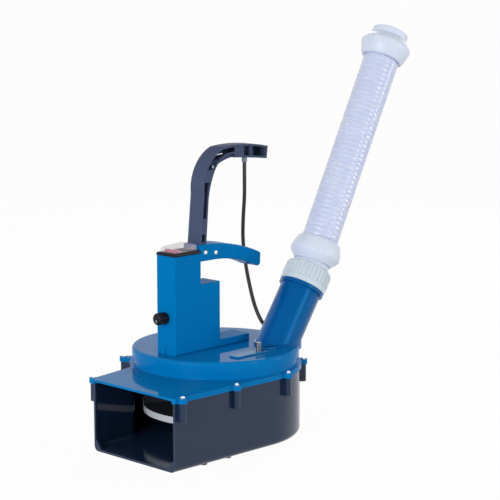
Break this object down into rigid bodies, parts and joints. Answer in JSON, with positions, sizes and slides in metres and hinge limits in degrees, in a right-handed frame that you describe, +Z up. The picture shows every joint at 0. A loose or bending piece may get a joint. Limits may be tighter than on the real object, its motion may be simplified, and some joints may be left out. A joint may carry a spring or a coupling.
{
  "type": "handheld granule blower",
  "caption": "Hand-held electric granule blower: scroll casing with rectangular outlet, control column with arch and trigger handle, leaning feed tube and corrugated hose.",
  "frame": {"origin": "impeller axis at the floor, at the underside of the middle foot", "axes": "+Z up along the impeller axis, -Y out of the outlet, +X towards the side where the feed tube and the duct stand"},
  "size_m": [0.2286, 0.459, 0.5031],
  "materials": {
    "navy_plastic": "satin moulded",
    "blue_plastic": "gloss moulded",
    "zinc_steel": "zinc plated",
    "dark_steel": "blackened",
    "rubber_black": "matte",
    "white_plastic": "satin moulded",
    "black_plastic": "satin",
    "red_plastic": "gloss",
    "clear_vinyl": "clear",
    "board_green": "satin",
    "milky_plastic": "translucent",
    "hose_vinyl": "translucent"
  },
  "bodies": {
    "housing": {"lower_casing": "navy_plastic", "upper_casing": "blue_plastic", "casing_screws": "zinc_steel", "feet": "rubber_black", "motor": "zinc_steel", "motor_screws": "zinc_steel", "column_shell_right": "blue_plastic", "column_shell_left": "blue_plastic", "column_screws": "zinc_steel", "arch_screws": "zinc_steel", "foot_screws": "zinc_steel", "switch_bezel": "black_plastic", "switch_body": "black_plastic", "switch_cover": "clear_vinyl", "speed_control": "zinc_steel", "power_inlet": "black_plastic", "control_board": "board_green", "top_handle": "navy_plastic", "trigger_pin": "zinc_steel", "cable": "rubber_black", "cable_stop": "zinc_steel", "handle_ferrule": "zinc_steel", "gate_floor": "white_plastic", "gate_pin": "zinc_steel", "feed_tube": "blue_plastic", "union_tail": "milky_plastic", "hose": "hose_vinyl", "hose_coupling": "milky_plastic"},
    "spinner": {"impeller": "white_plastic", "impeller_screw": "zinc_steel", "motor_shaft": "zinc_steel"},
    "knob": {"speed_knob": "black_plastic", "speed_shaft": "zinc_steel"},
    "rocker": {"switch_rocker": "red_plastic"},
    "trigger": {"trigger": "navy_plastic"},
    "gate": {"gate_plate": "dark_steel"},
    "cap_nut": {"tube_cap_nut": "white_plastic"},
    "lower_nut_body": {"lower_nut": "milky_plastic"},
    "upper_nut_body": {"upper_nut": "milky_plastic"}
  },
  "joints": [
    {"name": "impeller_spin", "type": "hinge", "parent": "housing", "child": "spinner", "pos_m": [0, 0, 0.04], "axis": [0, 0, 1], "continuous": true},
    {"name": "speed_knob_turn", "type": "hinge", "parent": "housing", "child": "knob", "pos_m": [0, -0.0923, 0.1575], "axis": [0, -1, 0], "range_deg": [-135, 135]},
    {"name": "switch_rock", "type": "hinge", "parent": "housing", "child": "rocker", "pos_m": [0, -0.0625, 0.2295], "axis": [-1, 0, 0], "range_deg": [0, 9.8]},
    {"name": "trigger_squeeze", "type": "hinge", "parent": "housing", "child": "trigger", "pos_m": [0, -0.0145, 0.335], "axis": [1, 0, 0], "range_deg": [0, 6.5], "stiffness_Nm_per_rad": 0.4, "springref_deg": -6.88},
    {"name": "gate_slide", "type": "slide", "parent": "housing", "child": "gate", "axis": [0, -1, 0], "range_m": [0, 0.0075]},
    {"name": "cap_nut_turn", "type": "hinge", "parent": "housing", "child": "cap_nut", "pos_m": [0.0535, 0.10691, 0.18802], "axis": [0, 0.5664, 0.8241], "continuous": true},
    {"name": "lower_nut_turn", "type": "hinge", "parent": "housing", "child": "lower_nut_body", "pos_m": [0.0535, 0.12597, 0.21966], "axis": [0, 0.4664, 0.8846], "continuous": true},
    {"name": "upper_nut_turn", "type": "hinge", "parent": "housing", "child": "upper_nut_body", "pos_m": [0.0535, 0.25795, 0.47], "axis": [0, 0.4664, 0.8846], "continuous": true}
  ],
  "couplings": [
    {"joint": "gate_slide", "follows": "trigger_squeeze", "m_per_rad": 0.066}
  ]
}
